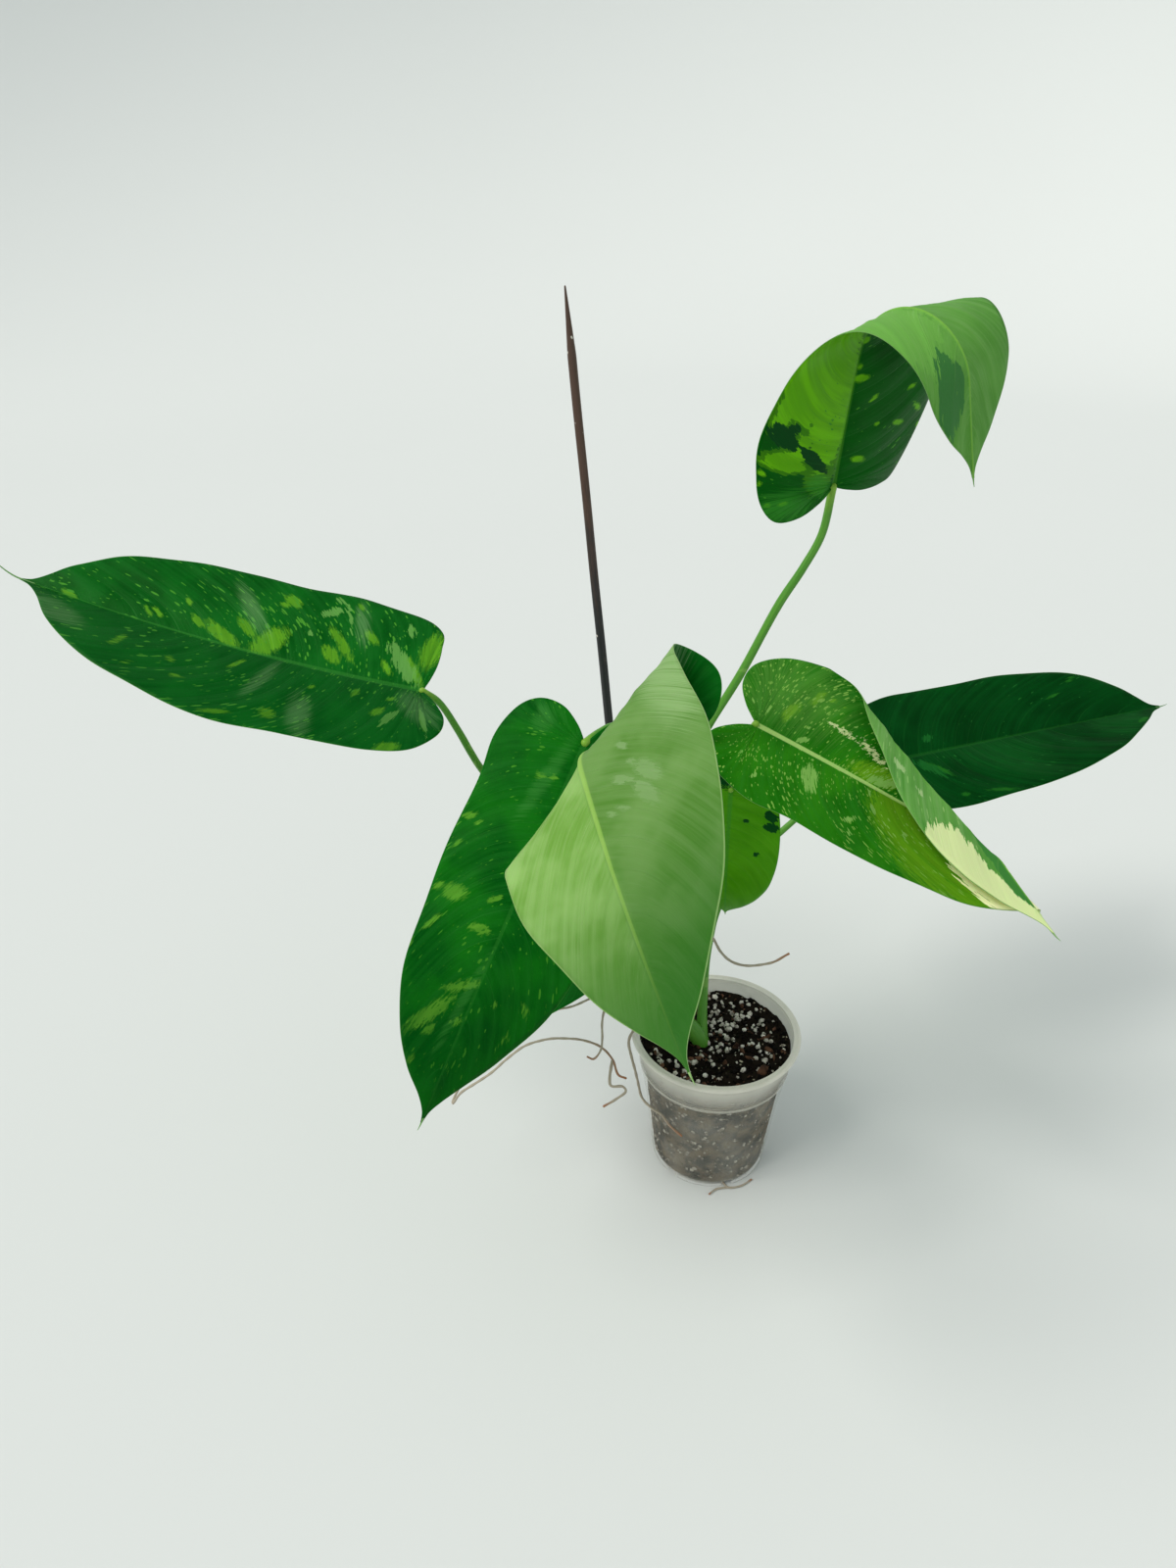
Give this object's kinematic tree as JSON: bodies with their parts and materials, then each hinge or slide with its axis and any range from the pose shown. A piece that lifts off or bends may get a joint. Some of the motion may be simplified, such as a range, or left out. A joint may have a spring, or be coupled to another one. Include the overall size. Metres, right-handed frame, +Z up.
{
  "type": "potted variegated philodendron",
  "caption": "Climbing aroid house plant with large heart-shaped speckled leaves, some folded over, on long petioles beside a stake, rooted in a clear round nursery pot of bark and perlite mix.",
  "frame": {"origin": "middle of the pot's flat base, on the surface it stands on", "axes": "+Z up the plant, +Y away from the viewer of the picture, +X to the viewer's right, along the plant's greatest spread"},
  "size_m": [0.7765, 0.4985, 0.6031],
  "materials": {
    "nursery_pot": "translucent satin",
    "potting_mix": "rough",
    "stake": "satin",
    "stem": "satin",
    "leaf_dark_green": "glossy",
    "leaf_mid_green": "glossy",
    "leaf_light_green": "satin",
    "leaf_pale_underside": "matte",
    "root": "rough"
  },
  "bodies": {
    "root": {"pot": "nursery_pot", "soil": "potting_mix", "stake": "stake", "stem_and_petioles": "stem", "leaf_left": "leaf_dark_green", "leaf_lower_left": "leaf_dark_green", "leaf_centre": "leaf_pale_underside", "leaf_upper_right": "leaf_light_green", "leaf_right": "leaf_mid_green", "leaf_far_right": "leaf_dark_green", "leaf_small": "leaf_light_green", "leaf_behind": "leaf_dark_green", "root_long_left": "root", "root_hook": "root", "root_upper_left": "root", "root_right": "root", "root_over_rim": "root", "root_foot": "root"}
  },
  "joints": []
}
